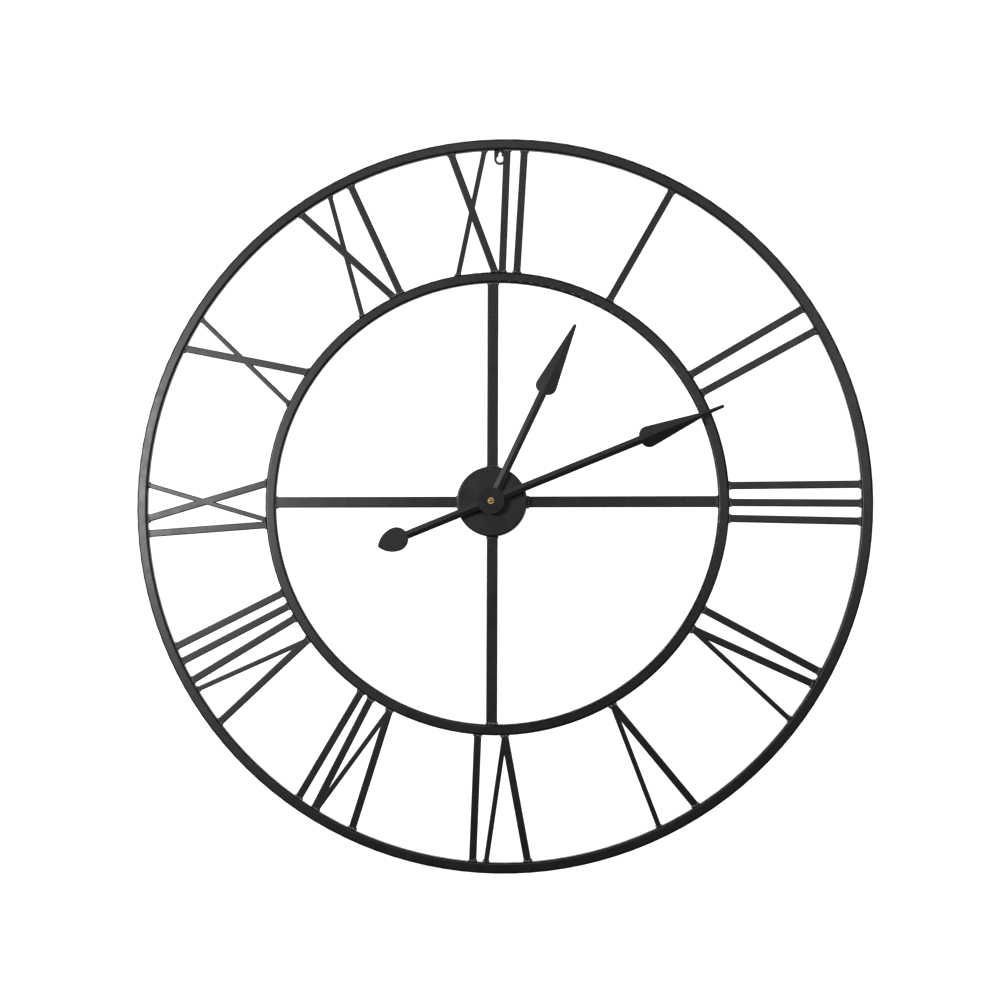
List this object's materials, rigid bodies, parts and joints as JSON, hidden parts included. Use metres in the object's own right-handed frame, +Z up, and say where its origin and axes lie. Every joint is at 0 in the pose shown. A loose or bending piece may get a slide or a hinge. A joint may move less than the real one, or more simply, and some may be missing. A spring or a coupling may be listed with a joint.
{
  "type": "wall clock",
  "caption": "Large round open-frame wall clock: two steel rings joined by Roman numerals, crossed spokes, spade hands and a quartz movement in a hub cup.",
  "frame": {"origin": "on the hand axis, in the plane of the wall that the rings' backs lie against", "axes": "+Z up, +Y into the wall, +X to the viewer's right; the dial faces -Y"},
  "size_m": [0.8, 0.0313, 0.8],
  "materials": {
    "frame_coat": "satin black powder coat over steel",
    "hand_paint": "aluminium sheet with satin black paint",
    "case_plastic": "moulded black plastic with a fine texture",
    "chip_plastic": "black resin",
    "washer_rubber": "matt black rubber",
    "brass": "turned brass",
    "white_plastic": "moulded natural acetal",
    "magnet": "sintered magnet",
    "bright_steel": "bright stamped steel",
    "copper_wire": "enamelled copper wire",
    "board_resin": "green circuit board",
    "battery_sleeve": "plain printed steel can"
  },
  "bodies": {
    "frame": {"outer_ring": "frame_coat", "inner_ring": "frame_coat", "spoke_top": "frame_coat", "spoke_right": "frame_coat", "spoke_bottom": "frame_coat", "spoke_left": "frame_coat", "numeral_1": "frame_coat", "numeral_2": "frame_coat", "numeral_3": "frame_coat", "numeral_4": "frame_coat", "numeral_5": "frame_coat", "numeral_6": "frame_coat", "numeral_7": "frame_coat", "numeral_8": "frame_coat", "numeral_9": "frame_coat", "numeral_10": "frame_coat", "numeral_11": "frame_coat", "numeral_12": "frame_coat", "hub_cup": "frame_coat", "hanger_plate": "frame_coat", "case_front": "case_plastic", "case_back": "case_plastic", "threaded_bush": "brass", "rubber_washer": "washer_rubber", "brass_washer": "brass", "hex_nut": "brass", "stator": "bright_steel", "coil_bobbin": "white_plastic", "coil_winding": "copper_wire", "circuit_board": "board_resin", "crystal": "bright_steel", "chip": "chip_plastic", "contact_plus": "bright_steel", "contact_minus": "bright_steel"},
    "minute": {"minute_hand": "hand_paint", "minute_collet": "brass", "minute_arbor": "brass", "arbor_cap": "brass"},
    "hour": {"hour_hand": "hand_paint", "hour_collet": "brass", "hour_wheel": "white_plastic"},
    "minute_wheel": {"minute_wheel": "white_plastic"},
    "setting_knob": {"setting_knob": "white_plastic"},
    "rotor": {"rotor_pinion": "white_plastic", "rotor_magnet": "magnet"},
    "intermediate": {"intermediate_wheel": "white_plastic"},
    "seconds": {"seconds_wheel": "white_plastic"},
    "third": {"third_wheel": "white_plastic"},
    "centre": {"centre_wheel": "white_plastic"},
    "battery": {"battery": "battery_sleeve"}
  },
  "joints": [
    {"name": "minute_turn", "type": "hinge", "parent": "frame", "child": "minute", "pos_m": [0, 0, 0], "axis": [0, 1, 0], "continuous": true},
    {"name": "hour_turn", "type": "hinge", "parent": "frame", "child": "hour", "pos_m": [0, 0, 0], "axis": [0, 1, 0], "continuous": true},
    {"name": "minute_wheel_turn", "type": "hinge", "parent": "frame", "child": "minute_wheel", "pos_m": [-0.0085, 0, -0.00228], "axis": [0, 1, 0], "continuous": true},
    {"name": "setting_turn", "type": "hinge", "parent": "frame", "child": "setting_knob", "pos_m": [-0.017, 0, -0.00456], "axis": [0, 1, 0], "continuous": true},
    {"name": "rotor_turn", "type": "hinge", "parent": "frame", "child": "rotor", "pos_m": [-0.01088, 0, 0.01234], "axis": [0, 1, 0], "continuous": true},
    {"name": "intermediate_turn", "type": "hinge", "parent": "frame", "child": "intermediate", "pos_m": [-0.00728, 0, 0.00611], "axis": [0, 1, 0], "continuous": true},
    {"name": "seconds_turn", "type": "hinge", "parent": "frame", "child": "seconds", "pos_m": [0, 0, 0], "axis": [0, 1, 0], "continuous": true},
    {"name": "third_turn", "type": "hinge", "parent": "frame", "child": "third", "pos_m": [0.00528, 0, 0.00754], "axis": [0, 1, 0], "continuous": true},
    {"name": "centre_turn", "type": "hinge", "parent": "frame", "child": "centre", "pos_m": [0, 0, 0], "axis": [0, 1, 0], "continuous": true},
    {"name": "battery_slide", "type": "slide", "parent": "frame", "child": "battery", "axis": [0, 1, 0], "range_m": [0, 0.02]}
  ],
  "couplings": [
    {"joint": "hour_turn", "follows": "minute_turn", "ratio": 0.083333},
    {"joint": "minute_wheel_turn", "follows": "minute_turn", "ratio": -0.33333},
    {"joint": "setting_turn", "follows": "minute_turn", "ratio": 1},
    {"joint": "intermediate_turn", "follows": "rotor_turn", "ratio": -0.2},
    {"joint": "seconds_turn", "follows": "rotor_turn", "ratio": 0.033333},
    {"joint": "third_turn", "follows": "rotor_turn", "ratio": -0.0044444},
    {"joint": "centre_turn", "follows": "rotor_turn", "ratio": 0.00055556}
  ]
}
